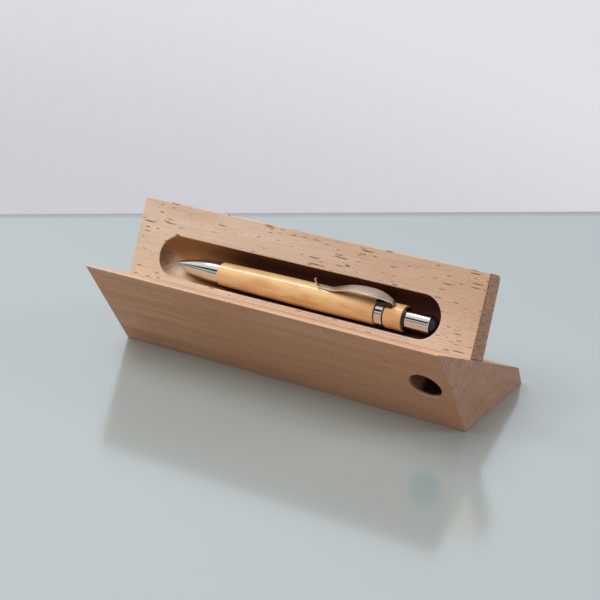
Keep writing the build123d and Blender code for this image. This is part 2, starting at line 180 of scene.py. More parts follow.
def beech(name, pith, shift, tones, fleck, share, dark_share, shade_paint):
    """Steamed beech, sanded and oiled: a pinkish tan with a satin face and open, darker ends.
    Rings and the streaks of the ends follow the log that it was sawn from, whose pith runs
    along X through (y, z) = pith in mm: rings are bands of the distance from the pith, and
    streaks are long outwards and thin around. Shift moves the pattern along X. The broad rays
    show on the faces as short dark dashes along the grain: in a jittered lattice, share of the
    cells have one, which is what lies nearer to the cell's point than a reach of its own."""
    material, tree, shader, mm = blank(name)
    light, dark, blush, end = [color(t) for t in tones]
    place = add(tree, "VectorMath", {0: mm, 1: (shift, 0, 0)}, operation="ADD")
    # The log isn't straight: its grain wanders by up to 4 mm to each side in 55 mm.
    wander = add(tree, "TexNoise", {"Vector": place, "Scale": 0.018, "Detail": 2.0}, "Color")
    wander = add(tree, "VectorMath", {0: wander, 1: (0.5, 0.5, 0.5)}, operation="SUBTRACT")
    bent = add(tree, "VectorMath", {0: wander, 1: (0, 8, 8), 2: place}, operation="MULTIPLY_ADD")
    away = add(tree, "VectorMath", {0: bent, 1: (0, *pith)}, operation="SUBTRACT")
    part = add(tree, "SeparateXYZ", {0: away}).node.outputs
    flat = add(tree, "CombineXYZ", {1: part[1], 2: part[2]})
    distance = add(tree, "VectorMath", {0: flat}, "Value", operation="LENGTH")
    angle = add(tree, "Math", {0: part[2], 1: part[1]}, operation="ARCTAN2")
    around = add(tree, "Math", {0: angle, 1: LOG_RADIUS}, operation="MULTIPLY")
    log = add(tree, "CombineXYZ", {0: part[0], 1: around, 2: distance})

    # Rings about 4 mm wide, faint in beech, and slow changes of hue along the plank.
    tone = pattern(tree, log, (110, 26, 4.0), 2.0, 0.34, 0.70)
    drift = add(tree, "Math", {0: part[0], 1: 0.002}, operation="MULTIPLY")
    hue = pattern(tree, place, (70, 24, 24), 1.0, 0.40, 0.66, drift=drift)
    # Fibres: soft streaks 0.6 mm wide that run for 20 mm or more.
    fibre = pattern(tree, place, (24, 0.6, 0.6), 3.0, 0.34, 0.74)
    # Pores: a speckle on the faces, half a millimetre across and drawn out along the grain.
    # Real pores are a tenth of that, too fine to show.
    pores = pattern(tree, place, (1.6, 0.45, 0.45), 2.0, 0.44, 0.72)
    # On the ends the fine rays are streaks 0.4 mm wide and a few millimetres long.
    streak = pattern(tree, log, (2.0, 0.40, 4.0), 3.0, 0.38, 0.66)
    # Broad rays: dashes 1.5 to 4 mm long and about 0.5 mm wide, closer together in some places.
    crowd = pattern(tree, place, (45, 11, 11), 1.0, 0.32, 0.68, 0.76, 1.12)
    dashes = 0.0
    for size, reach in (((13.0, 1.1, 1.1), 0.27), ((6.0, 0.95, 0.95), 0.26)):
        counted = add(tree, "VectorMath", {0: place, 1: size}, operation="DIVIDE")
        cell = add(tree, "TexVoronoi", {"Vector": counted, "Scale": 1.0, "Randomness": 0.95}).node.outputs
        luck = add(tree, "SeparateColor", {0: cell["Color"]})
        own = add(tree, "MapRange", {0: luck, 1: 1 - share, 2: 1.0, 3: 0.10, 4: reach}, **SMOOTH)
        own = add(tree, "Math", {0: own, 1: crowd}, operation="MULTIPLY")
        inside = add(tree, "Math", {0: own, 1: cell["Distance"]}, operation="SUBTRACT")
        inside = add(tree, "MapRange", {0: inside, 1: -0.02, 2: 0.05}, **SMOOTH)
        kept = add(tree, "Math", {0: luck, 1: 1 - share}, operation="GREATER_THAN")
        dash = add(tree, "Math", {0: inside, 1: kept}, operation="MULTIPLY")
        dashes = add(tree, "Math", {0: dash, 1: dashes}, operation="MAXIMUM")

    facing = add(tree, "SeparateXYZ", {0: add(tree, "TexCoord", out="Normal")})
    facing = add(tree, "Math", {0: facing}, operation="ABSOLUTE")
    endwise = add(tree, "MapRange", {0: facing, 1: 0.35, 2: 0.95}, **SMOOTH)
    face = layered(tree, light, dark, tone)
    face = layered(tree, face, blush, hue, 0.5)
    for mask, depth in ((fibre, 0.16), (pores, 0.14), (dashes, dark_share)):
        face = layered(tree, face, color(fleck), mask, depth)
    for mask, depth in ((tone, 0.22), (streak, 0.68)):
        end = layered(tree, end, color(fleck), mask, depth)
    wood = layered(tree, face, end, endwise)
    relief = layered(tree, dashes, streak, endwise)
    relief = add(tree, "Math", {0: relief, 1: 0.7}, operation="MULTIPLY")
    fine = add(tree, "Math", {0: pores, 1: 0.3}, operation="MULTIPLY")
    relief = add(tree, "Math", {0: relief, 1: fine}, operation="ADD")
    sockets = {"Height": relief, "Strength": 0.25, "Distance": 0.05 * MM}
    # The base colour carries painted shade on the walls of the block's cut.
    finish = {
        "Base Color": painted_shade(tree, mm, wood, **shade_paint),
        "Roughness": add(tree, "MapRange", {0: pores, 3: 0.50, 4: 0.62}, **SMOOTH),
        "Normal": add(tree, "Bump", sockets, invert=True),
        "Specular IOR Level": 0.35,
    }
    fill(shader, finish)
    return material


def rounded(corners, turn=12.0):
    """Closed outline through corners (a, b, radius, cuts), as points, normals and spans.
    A corner becomes the arc that touches both its sides, in steps of at most turn degrees.
    The side after it is cut into that many parts, with one more point close to each end,
    so that flats shade flat. A span is the first and last index of a side's cuts."""
    places = np.array([c[:2] for c in corners], float)
    arcs = []
    for k, (_, _, radius, _) in enumerate(corners):
        here = places[k]
        back, ahead = places[k - 1] - here, places[(k + 1) % len(corners)] - here
        back, ahead = back / np.linalg.norm(back), ahead / np.linalg.norm(ahead)
        half = np.arccos(np.clip(back @ ahead, -1, 1)) / 2
        center = here + (back + ahead) / np.linalg.norm(back + ahead) * radius / sin(half)
        whole = pi - 2 * half
        share = np.linspace(0, 1, max(1, ceil(np.degrees(whole) / turn)) + 1)[:, None]
        first = here + back * radius / np.tan(half) - center
        last = here + ahead * radius / np.tan(half) - center
        arc = (np.sin((1 - share) * whole) * first + np.sin(share * whole) * last) / sin(whole)
        arcs.append((center + arc, arc / radius))
    points, normals, spans, total = [], [], [], 0
    for k, (arc, outward) in enumerate(arcs):
        run = arcs[(k + 1) % len(arcs)][0][0] - arc[-1]
        length = np.linalg.norm(run)
        reach = np.linspace(HOLD, length - HOLD, corners[k][3] + 1)[:, None]
        points += [arc, arc[-1] + reach * run / length]
        normals += [outward, np.repeat(outward[-1:], len(reach), 0)]
        spans.append((total + len(arc), total + len(arc) + len(reach) - 1))
        total += len(arc) + len(reach)
    return np.concatenate(points), np.concatenate(normals), spans


ARC_STEPS = np.radians(np.linspace(0, 90, 5))


def carried(points, normals, places, arris):
    """Outline (y, z) carried along X through places, as a grid of rings. Both ends are rounded
    over: at angle t the ring is arris * cos t beyond the last place and shrunk along its
    normals by arris * (1 - sin t)."""
    ring, outward = np.vstack([points, points[:1]]), np.vstack([normals, normals[:1]])
    beyond, inset = arris * np.cos(ARC_STEPS) + HOLD, arris * (1 - np.sin(ARC_STEPS))
    beyond[-1] = HOLD
    x = np.concatenate([places[0] - beyond, places, (places[-1] + beyond)[::-1]])
    shrink = np.concatenate([inset, np.zeros(len(places)), inset[::-1]])
    section = ring[None] - outward[None] * shrink[:, None, None]
    return np.concatenate([np.repeat(x[:, None, None], len(ring), 1), section], 2)


def sunk(grid, patch, start, profile, inward, run=np.zeros(3), flare=None):
    """Sheet that runs from the border of a flat patch ((first row, last row), (first column, last
    column)) of a grid into a hole. Every border point has a foot, the nearest point of the
    hole's spine, which goes from start by run, and each ring of the profile (radius, depth)
    puts it at foot + radius * (border - foot) / |border - foot| + depth * inward."""
    (i0, i1), (j0, j1) = patch
    border = [grid[i0:i1, j0], grid[i1, j0:j1], grid[i1:i0:-1, j1], grid[i0, j1:j0:-1], grid[i0:i0 + 1, j0]]
    border = np.concatenate(border)
    share = (border - start) @ run / max(run @ run, 1e-9)
    foot = start + np.clip(share, 0, 1)[:, None] * run
    out = border - foot
    out = out / np.linalg.norm(out, axis=1)[:, None]
    rings = [border]
    for radius, depth in profile:
        grown = radius + (0 if flare is None else flare(border, foot, depth))
        rings.append(foot + out * np.reshape(grown, (-1, 1)) + depth * inward)
    return np.array(rings)


def solid(name, sheets, material, body, stands_for, ends=False, sharp=32):
    """One closed piece from grids of points in mm. A sheet is a grid, or a grid and a mask of the
    quads to keep, and with ends the first sheet's first and last ring get a face. Points that
    meet are joined, faces turned outwards, and edges over sharp degrees kept crisp."""
    points, faces, start = [], [], 0
    for sheet in sheets:
        grid, keep = sheet if isinstance(sheet, tuple) else (sheet, None)
        index = start + np.arange(grid[..., 0].size).reshape(grid.shape[:2])
        quads = np.stack([index[:-1, :-1], index[1:, :-1], index[1:, 1:], index[:-1, 1:]], -1)
        faces += (quads.reshape(-1, 4) if keep is None else quads[keep]).tolist()
        if ends and start == 0:
            faces += [index[0, :-1].tolist(), index[-1, :-1].tolist()]
        points.append(grid.reshape(-1, 3))
        start += len(points[-1])
    mesh = bpy.data.meshes.new(name)
    mesh.from_pydata((np.concatenate(points) * MM).tolist(), [], faces)
    shape = bmesh.new()
    shape.from_mesh(mesh)
    bmesh.ops.remove_doubles(shape, verts=shape.verts, dist=WELD * MM)
    bmesh.ops.recalc_face_normals(shape, faces=shape.faces)
    shape.to_mesh(mesh)
    shape.free()
    mesh.shade_smooth()
    mesh.set_sharp_from_angle(angle=radians(sharp))
    mesh.materials.append(material)
    piece = bpy.data.objects.new(name, mesh)
    bpy.context.scene.collection.objects.link(piece)
    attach(piece, body)
    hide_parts(*stands_for)
    return piece


def block(name, grid, holes, wood, body, stands_for):
    """Beech block from its grid, with a sheet sunk into it for each of its holes."""
    keep = np.ones((grid.shape[0] - 1, grid.shape[1] - 1), bool)
    for ((i0, i1), (j0, j1)), *_ in holes:
        keep[i0:i1, j0:j1] = False
    sheets = [(grid, keep)] + [sunk(grid, *hole) for hole in holes]
    solid(name, sheets, wood, body, [stands_for], ends=True)


# The wedge's section in (y, z): a sole, a low back that leans in, a sloping top and a front
# that leans out. The top and the front both touch the round of the front edge.
half = BASE_LENGTH / 2
base_depth = FRONT_OVERHANG + SOLE_DEPTH
front_foot = np.array([FRONT_OVERHANG - base_depth / 2, 0.0])
back_foot = np.array([base_depth / 2, 0.0])
back_edge = np.array([base_depth / 2 - BACK_LEAN, BACK_HEIGHT])
edge_center = np.array([FRONT_ROUND - base_depth / 2, FRONT_HEIGHT - FRONT_ROUND])


def grazing(start, side):
    """Unit direction from a point to the front edge's round, touching it on one side."""
    reach = edge_center - start
    heading = atan2(reach[1], reach[0]) + side * asin(FRONT_ROUND / np.linalg.norm(reach))
    return np.array([cos(heading), sin(heading)])


along_top = -grazing(back_edge, -1)
above_top = np.array([-along_top[1], along_top[0]])
down_front = -grazing(front_foot, 1)
into_front = np.array([-down_front[1], down_front[0]])
opening = np.arccos(along_top @ down_front) / 2
point = edge_center - (along_top + down_front) / (2 * cos(opening)) * FRONT_ROUND / sin(opening)
top_start = edge_center + above_top * FRONT_ROUND
front_start = edge_center - into_front * FRONT_ROUND


def in_space(x, yz):
    """Point or direction of the room from its x and a pair (y, z) of the blocks' section."""
    return np.array([x, yz[0], yz[1]])


base_outline, base_normals, base_spans = rounded(
    [
        (*point, FRONT_ROUND, PATCH_CUTS),
        (*back_edge, BACK_ROUND, 2),
        (*back_foot, SOLE_ARRIS, 2),
        (*front_foot, SOLE_ARRIS, PATCH_CUTS),
    ]
)
# The hole and the magnets' pockets are sunk into patches of the grid near the ends.
reach = half - END_ARRIS - HOLD
patch_start = half - HOLE_FROM_RIGHT - HOLE_D / 2 - HOLE_MOUTH - PATCH_MARGIN
patch_x = np.linspace(patch_start, reach, PATCH_CUTS + 1)
base_places = np.concatenate([-patch_x[::-1], np.linspace(-patch_start, patch_start, 13)[1:-1], patch_x])
base_grid = carried(base_outline, base_normals, base_places, END_ARRIS)
first, last = len(ARC_STEPS), len(ARC_STEPS) + len(base_places) - 1
left_rows, right_rows = (first, first + PATCH_CUTS), (last - PATCH_CUTS, last)
top_cols, front_cols = base_spans[0], base_spans[3]

# The hole has a straight wall, a flat floor and a mouth worn round in two slopes.
hole_center = in_space(half - HOLE_FROM_RIGHT, front_start + down_front * HOLE_BELOW_EDGE)
hole_r = HOLE_D / 2
hole_profile = [
    (hole_r + HOLE_MOUTH + HOLD, 0),
    (hole_r + HOLE_MOUTH, 0),
    (hole_r + HOLE_MOUTH * 0.24, HOLE_MOUTH * 0.6),
    (hole_r, HOLE_MOUTH),
    (hole_r, HOLE_MOUTH + HOLD),
    (hole_r, HOLE_DEPTH - HOLD),
    (hole_r, HOLE_DEPTH),
    (hole_r - HOLD, HOLE_DEPTH),
    (0, HOLE_DEPTH),
]
base_holes = [((right_rows, front_cols), hole_center, hole_profile, in_space(0, into_front))]
# The magnets' pockets lie under the middle of the board's foot, which starts BOARD_SETBACK
# behind the front edge along the slope.
BOARD_SETBACK = 31.9
BOARD_FOOT = 12.9
SEAM_GAP = 0.05
pocket_r = MAGNET_D / 2 + MAGNET_GLUE
pocket_profile = [(pocket_r, 0), (pocket_r, MAGNET_T + MAGNET_GLUE), (0, MAGNET_T + MAGNET_GLUE)]
foot_start = top_start + along_top * BOARD_SETBACK
seam_middle = foot_start + along_top * BOARD_FOOT / 2
magnet_x = half - MAGNET_FROM_END
for rows, x in ((left_rows, -magnet_x), (right_rows, magnet_x)):
    base_holes.append(((rows, top_cols), in_space(x, seam_middle), pocket_profile, in_space(0, -above_top)))

# The wedge's face is even, with few and faint ray flecks. Its hole's walls have painted shade, nearly black
# except where they face right.
wedge_beech = beech(
    "steamed_beech_wedge",
    pith=(7.0, -37.0),
    shift=40.0,
    tones=("e2c3a9", "d6b090", "d9ab8e", "b39583"),
    fleck="805638",
    share=0.14,
    dark_share=0.55,
    shade_paint={
        "tint": "140a05",
        "most": 0.97,
        "center": hole_center,
        "axis": in_space(0, into_front),
        "radius": hole_r,
        "inward": in_space(0, into_front),
        "depths": (0.5, 1.8, HOLE_DEPTH),
        "toward": (-1, 0, 0),
        "facings": (-0.95, -0.45),
    },
)
block("beech_wedge", base_grid, base_holes, wedge_beech, "base", "base_block")

# Magnets.
# Two pairs of nickel-plated neodymium discs, pressed and glued into pockets flush with the
# wood, hold the board on the slope. The discs have a small chamfer all round.
MAGNET_CHAMFER = 0.3
# Nickel plating, barrel-finished: a dull mirror, a little warm, in patches of 1 mm.
magnet_nickel, tree, shader, mm = blank("nickel_plated_magnet")
patches = pattern(tree, mm, (1.1, 1.1, 1.1), 4.0, 0.3, 0.7, 0.16, 0.30)
fill(shader, {"Metallic": 1.0, "Base Color": color("c9c6bf"), "Roughness": patches})


def turned(outline, turns):
    """Outline (place, radius) turned about the axis: (place, radius cos t, radius sin t)."""
    t = np.linspace(0, 2 * pi, turns + 1)
    place, radius = np.asarray(outline, float).T[..., None]
    return np.stack([place + 0 * t, radius * np.cos(t), radius * np.sin(t)], -1)


disc_outline = [
    (0, 0),
    (0, MAGNET_D / 2 - MAGNET_CHAMFER),
    (MAGNET_CHAMFER, MAGNET_D / 2),
    (MAGNET_T - MAGNET_CHAMFER, MAGNET_D / 2),
    (MAGNET_T, MAGNET_D / 2 - MAGNET_CHAMFER),
    (MAGNET_T, 0),
]
for body, up, lift in (("base", -above_top, 0.0), ("board", above_top, SEAM_GAP)):
    axes = np.array([in_space(0, up), [1, 0, 0], in_space(0, (up[1], -up[0]))])
    middles = [in_space(x, seam_middle + above_top * lift) for x in (-magnet_x, magnet_x)]
    discs = [turned(disc_outline, 48) @ axes + middle for middle in middles]
    solid(body + "_magnet_discs", discs, magnet_nickel, body, [body + "_magnets"], sharp=25)

# Board.
# A beech board stands square on the slope and leans back with it. Its face has a trough
# that was cut with a round-nosed cutter, its top edge is rounded over at the back, and
# the cutter tore out a chip of the rim at the top left.
BOARD_HEIGHT = 36.6
BOARD_HEAD = 11.0
BOARD_END_INSET = 0.6
BOARD_BACK_ROUND = 2.4
BOARD_ARRIS = 0.5
BOARD_FOOT_ARRIS = 0.15
TROUGH_WIDTH = 19.3
TROUGH_RISE = 12.4
TROUGH_DEPTH = 10.6
TROUGH_FROM_LEFT = 15.2
TROUGH_FROM_RIGHT = 18.0
TROUGH_RIM = 0.35
POCKET_MARGIN = 2.6
POCKET_CUTS = 12
TROUGH_CUTS = 30


def on_board(rise, back):
    """Point (y, z) at a rise up the board's face and a distance behind it."""
    return foot_start + above_top * (rise + SEAM_GAP) + along_top * back


board_outline, board_normals, board_spans = rounded(
    [
        (*on_board(0, 0), BOARD_FOOT_ARRIS, POCKET_CUTS),
        (*on_board(0, BOARD_FOOT), BOARD_FOOT_ARRIS, 2),
        (*on_board(BOARD_HEIGHT, BOARD_HEAD), BOARD_BACK_ROUND, 2),
        (*on_board(BOARD_HEIGHT, 0), BOARD_ARRIS, TROUGH_CUTS),
    ]
)
reach = half - BOARD_END_INSET - END_ARRIS - HOLD
trough_r = TROUGH_WIDTH / 2
trough_wall = TROUGH_DEPTH - trough_r
spine_left = -half + TROUGH_FROM_LEFT + trough_r
spine_right = half - TROUGH_FROM_RIGHT - trough_r
pocket_end = magnet_x - pocket_r - POCKET_MARGIN
# Along X the board is cut into so many parts between each two of these places.
ends = (-reach, -pocket_end, spine_left, spine_right, pocket_end, reach)
cuts = np.cumsum([0, POCKET_CUTS, 30, 40, 12, POCKET_CUTS])
board_places = np.interp(np.arange(cuts[-1] + 1), cuts, ends)
board_grid = carried(board_outline, board_normals, board_places, END_ARRIS)
first, last = len(ARC_STEPS), len(ARC_STEPS) + len(board_places) - 1
face_patch = ((first, last), board_spans[3])
foot_left = ((first, first + POCKET_CUTS), board_spans[0])
foot_right = ((last - POCKET_CUTS, last), board_spans[0])
CHIP_AT = 103.0
CHIP_OUT = 1.1
CHIP_SPREAD = 6.5
CHIP_FADE = 0.8


def chip(border, foot, depth):
    """How far the torn chip pushes the rim out: CHIP_OUT * exp(-((angle - CHIP_AT) / CHIP_SPREAD)^2)
    * exp(-depth / CHIP_FADE), made ragged by two sines. The angle is in degrees round the
    trough's left end, up from the box's right."""
    away = border - foot
    angle = np.degrees(np.arctan2(away[:, 1:] @ above_top, away[:, 0]))
    near = np.exp(-(((angle - CHIP_AT) / CHIP_SPREAD) ** 2)) * (foot[:, 0] < spine_left + HOLD)
    ragged = 1 + 0.25 * np.sin(angle * 1.9) + 0.15 * np.sin(angle * 4.3 + 1)
    return CHIP_OUT * near * ragged * np.exp(-depth / CHIP_FADE)


sweep = np.radians(np.linspace(0, 90, 19))
trough_profile = [(trough_r + TROUGH_RIM + HOLD, 0)]
trough_profile += [(trough_r + TROUGH_RIM * (1 - sin(a)), TROUGH_RIM * (1 - cos(a))) for a in ARC_STEPS]
trough_profile += [(trough_r * cos(a), trough_wall + trough_r * sin(a)) for a in sweep]
trough_middle = on_board(TROUGH_RISE, 0)
trough_start = in_space(spine_left, trough_middle)
trough_run = in_space(spine_right - spine_left, (0, 0))
board_holes = [(face_patch, trough_start, trough_profile, in_space(0, along_top), trough_run, chip)]
for patch, x in ((foot_left, -magnet_x), (foot_right, magnet_x)):
    center = in_space(x, on_board(0, BOARD_FOOT / 2))
    board_holes.append((patch, center, pocket_profile, in_space(0, above_top)))
# The board is paler than the wedge and full of dark ray flecks. Its trough's upper wall has
# painted shade, lighter brown at the left and dark red-brown from there on, and further right the lower
# wall under the pen has it too.
board_beech = beech(
    "steamed_beech_board",
    pith=tuple(on_board(15, 85)),
    shift=-60.0,
    tones=("dac2ad", "cfb097", "cfa482", "b2937c"),
    fleck="6a4227",
    share=0.60,
    dark_share=0.85,
    shade_paint={
        "tint": "441505",
        "lighter_shade": ("ae7b49", spine_left + 9, spine_left + 37),
        "most": 0.95,
        "center": in_space(0, on_board(TROUGH_RISE, trough_wall)),
        "axis": (1, 0, 0),
        "radius": trough_r,
        "inward": in_space(0, along_top),
        "depths": (-0.3, 0.9, TROUGH_DEPTH),
        "toward": in_space(-0.8, -0.6 * above_top),
        "facings": (-0.55, -0.15),
        "every_x": (spine_left + 2, spine_left + 22),
    },
)
block("beech_board", board_grid, board_holes, board_beech, "board", "pen_board")

# Nose cone.
# The front of the pen is turned brass with bright chrome plating: a slightly bulged cone
# with a bored tip, screwed into the barrel by a hollow spigot that also holds the spring.
NOSE_LENGTH = 24.4
NOSE_TIP_D = 2.5
NOSE_BORE_D = 2.1
NOSE_END_D = 10.0
NOSE_BULGE = 1.15
NOSE_TIP_ROUND = 0.15
NOSE_SPIGOT = 7.0
NOSE_SPIGOT_R = 3.65
SPRING_SEAT = 8.0
SPRING_BORE_R = 2.3
POINT_BORE_R = 1.25
NOSE_GUIDE = 2.5
NOSE_EDGE = 0.15
SPIGOT_EDGE = 0.2
BORE_EDGE = 0.1
MOUTH_EDGE = 0.03
CLIP_TURN = 15.0
pen_low, pen_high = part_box("nose_cone")
tip_x = pen_low.x / MM
axis_y = (pen_low.y + pen_high.y) / 2 / MM
axis_z = (pen_low.z + pen_high.z) / 2 / MM


def laid(grid):
    """Points (place from the tip, across, up) of the pen, turned by CLIP_TURN about its axis and
    moved to its place in the trough."""
    t = radians(CLIP_TURN)
    spin = np.array([[1, 0, 0], [0, cos(t), sin(t)], [0, -sin(t), cos(t)]])
    return grid @ spin + np.array([tip_x, axis_y, axis_z])


def ringed(name, outline, material, body, stands_for, turns=96):
    """Closed piece turned about the pen's axis from its closed section (place, radius)."""
    closed = np.vstack([outline, outline[:1]])
    solid(name, [laid(turned(closed, turns))], material, body, [stands_for])


# Bright chrome plating over polished brass: a near mirror, with a faint polishing haze in
# clouds of 4 mm.
bright_chrome, tree, shader, mm = blank("bright_chrome_plating")
haze = pattern(tree, mm, (3.85, 3.85, 3.85), 3.0, 0.3, 0.7, 0.06, 0.11)
fill(shader, {"Metallic": 1.0, "Base Color": color("d8d7d5"), "Roughness": haze})
nose_outline = rounded(
    [
        (0, NOSE_TIP_D / 2, NOSE_TIP_ROUND, 48),
        (NOSE_LENGTH, NOSE_END_D / 2, NOSE_EDGE, 2),
        (NOSE_LENGTH, NOSE_SPIGOT_R, BORE_EDGE, 2),
        (NOSE_LENGTH + NOSE_SPIGOT, NOSE_SPIGOT_R, SPIGOT_EDGE, 2),
        (NOSE_LENGTH + NOSE_SPIGOT, SPRING_BORE_R, SPIGOT_EDGE, 2),
        (SPRING_SEAT, SPRING_BORE_R, BORE_EDGE, 2),
        (SPRING_SEAT, POINT_BORE_R, BORE_EDGE, 2),
        (SPRING_SEAT - NOSE_GUIDE, POINT_BORE_R, BORE_EDGE, 2),
        (NOSE_GUIDE, NOSE_BORE_D / 2, BORE_EDGE / 2, 2),
        (0, NOSE_BORE_D / 2, MOUTH_EDGE, 2),
    ]
)[0]
# The skin swells by 4 * NOSE_BULGE * t * (1 - t) at the share t of the length. A point takes
# part in it the more, the nearer it lies to the straight cone, within 0.5 mm.
t = np.clip(nose_outline[:, 0] / NOSE_LENGTH, 0, 1)
cone = NOSE_TIP_D / 2 + (NOSE_END_D - NOSE_TIP_D) / 2 * t
outside = np.clip(1 - (cone - nose_outline[:, 1]) / 0.5, 0, 1)
outside[nose_outline[:, 0] > NOSE_LENGTH + 0.01] = 0
nose_outline[:, 1] += 4 * NOSE_BULGE * t * (1 - t) * outside
ringed("nose_cone_chrome", nose_outline, bright_chrome, "pen", "nose_cone", 128)

# Bamboo barrel.
# Two turned bamboo tubes, a long one that swells a little in the middle and a short one
# behind the ring, sanded with a soft edge and dipped in clear gloss lacquer.
LOWER_LENGTH = 82.0
LOWER_FRONT_D = 10.6
LOWER_BELLY_D = 11.8
LOWER_BACK_D = 11.5
BAMBOO_BORE_D = 8.9
BAMBOO_EDGE = 0.4
BORE_ROUND = 0.08
GASKET_EDGE = 0.12
RING_EDGE = 0.15
UPPER_LENGTH = 8.7
UPPER_D = 11.5
GASKET_T = 0.6
GASKET_D = 11.2
RING_LENGTH = 3.6
RING_D = 11.5
ring_start = NOSE_LENGTH + LOWER_LENGTH
ring_end = ring_start + RING_LENGTH + 2 * GASKET_T
upper_end = ring_end + UPPER_LENGTH


def ring_outline(start, end, outer, bore, edge, cuts=2):
    """Closed section (place, radius) of a tube, with its outer edges rounded by edge and its
    inner ones by BORE_ROUND, and with its outside cut into that many parts."""
    outside = [(start, outer / 2, edge, cuts), (end, outer / 2, edge, 2)]
    return rounded(outside + [(end, bore / 2, BORE_ROUND, 2), (start, bore / 2, BORE_ROUND, 2)])[0]


# Lacquered bamboo: honey coloured, with fibre bundles as darker threads 0.35 mm wide, slow
# clouds of tone 14 mm long, and a clear gloss coat that gives sharp highlights.
bamboo, tree, shader, mm = blank("lacquered_bamboo")
threads = pattern(tree, mm, (30, 0.35, 0.35), 3.0, 0.35, 0.75)
clouds = pattern(tree, mm, (14, 4, 4), 2.0, 0.35, 0.7)
cane = layered(tree, color("e4bc86"), color("d3a064"), clouds)
finish = {
    "Base Color": layered(tree, cane, color("b07a42"), threads, 0.30),
    "Roughness": 0.42,
    "Coat Weight": 0.9,
    "Coat Roughness": 0.05,
    "Normal": add(tree, "Bump", {"Height": threads, "Strength": 0.15, "Distance": 0.02 * MM}, invert=True),
}
fill(shader, finish)

# The long tube's skin swells by tail * t + 4 * (belly - tail / 2) * t * (1 - t) at the share t.
lower_outline = ring_outline(NOSE_LENGTH, ring_start, LOWER_FRONT_D, BAMBOO_BORE_D, BAMBOO_EDGE, 40)
t = (lower_outline[:, 0] - NOSE_LENGTH) / LOWER_LENGTH
skin = lower_outline[:, 1] > LOWER_FRONT_D / 2 - BAMBOO_EDGE
belly, tail = (LOWER_BELLY_D - LOWER_FRONT_D) / 2, (LOWER_BACK_D - LOWER_FRONT_D) / 2
lower_outline[skin, 1] += (tail * t + 4 * (belly - tail / 2) * t * (1 - t))[skin]
ringed("lower_barrel_bamboo", lower_outline, bamboo, "pen", "lower_barrel", 128)
upper_outline = ring_outline(ring_end, upper_end, UPPER_D, BAMBOO_BORE_D, BAMBOO_EDGE, 8)
ringed("upper_barrel_bamboo", upper_outline, bamboo, "pen", "upper_barrel", 128)

# Joint ring and gaskets.
# Where the pen unscrews, a chromed brass ring sits between two thin black rubber washers
# that are a little smaller than it, so that they read as dark lines.
# Moulded black rubber: a soft sheen broken by a grain of 0.7 mm, drawn coarser than it is.
rubber, tree, shader, mm = blank("black_rubber")
grain = add(tree, "TexNoise", {"Vector": mm, "Scale": 1 / 0.67, "Detail": 3.0})
finish = {
    "Base Color": layered(tree, color("101011"), color("1c1c1e"), grain),
    "Roughness": add(tree, "MapRange", {0: grain, 1: 0.3, 2: 0.7, 3: 0.30, 4: 0.45}, **SMOOTH),
    "Normal": add(tree, "Bump", {"Height": grain, "Strength": 0.15, "Distance": 0.02 * MM}),
}
fill(shader, finish)
for name, start in (("front_gasket", ring_start), ("rear_gasket", ring_end - GASKET_T)):
    outline = ring_outline(start, start + GASKET_T, GASKET_D, BAMBOO_BORE_D, GASKET_EDGE)
    ringed(name + "_rubber", outline, rubber, "pen", name)
joint_outline = ring_outline(ring_start + GASKET_T, ring_end - GASKET_T, RING_D, BAMBOO_BORE_D, RING_EDGE)
ringed("joint_ring_chrome", joint_outline, bright_chrome, "pen", "joint_ring", 128)

# Push button.
# A deep-drawn chromed cup slides in a moulded black end collar, and a black rubber dome is
# plugged into its end.
COLLAR_LENGTH = 1.0
COLLAR_D = 10.0
COLLAR_EDGE = 0.2
PUSHER_D = 8.5
PUSHER_OUT = 11.7
PUSHER_SKIRT = 8.0
PUSHER_WALL = 0.6
PUSHER_FIT = 0.08
PUSHER_EDGE = 0.4
SOFT_TIP_D = 6.8
SOFT_TIP_LENGTH = 3.2
SOFT_TIP_PLUG_D = 5.0
SOFT_TIP_PLUG_LENGTH = 4.0
SOFT_TIP_LAND = 0.1
CUP_ROUND = 0.05
# Black ABS, injection moulded and polished: a gloss a little uneven in patches of 1.4 mm.
black_abs, tree, shader, mm = blank("black_abs_moulded")
unevenness = pattern(tree, mm, (1.43, 1.43, 1.43), 2.0, 0.3, 0.7, 0.20, 0.32)
fill(shader, {"Base Color": color("101012"), "Roughness": unevenness})
collar_end = upper_end + COLLAR_LENGTH
pusher_end = collar_end + PUSHER_OUT
collar_outline = ring_outline(upper_end, collar_end, COLLAR_D, PUSHER_D + 2 * PUSHER_FIT, COLLAR_EDGE)
ringed("end_collar_abs", collar_outline, black_abs, "pen", "end_collar")
pusher_r = PUSHER_D / 2
plug_hole_r = SOFT_TIP_PLUG_D / 2 + PUSHER_FIT
cup_outline = rounded(
    [
        (collar_end - PUSHER_SKIRT, pusher_r, 2 * CUP_ROUND, 2),
        (pusher_end, pusher_r, PUSHER_EDGE, 2),
        (pusher_end, plug_hole_r, CUP_ROUND, 2),
        (pusher_end - PUSHER_WALL, plug_hole_r, CUP_ROUND, 2),
        (pusher_end - PUSHER_WALL, pusher_r - PUSHER_WALL, CUP_ROUND, 2),
        (collar_end - PUSHER_SKIRT, pusher_r - PUSHER_WALL, CUP_ROUND, 2),
    ]
)[0]
ringed("pusher_chrome", cup_outline, bright_chrome, "button", "pusher", 128)
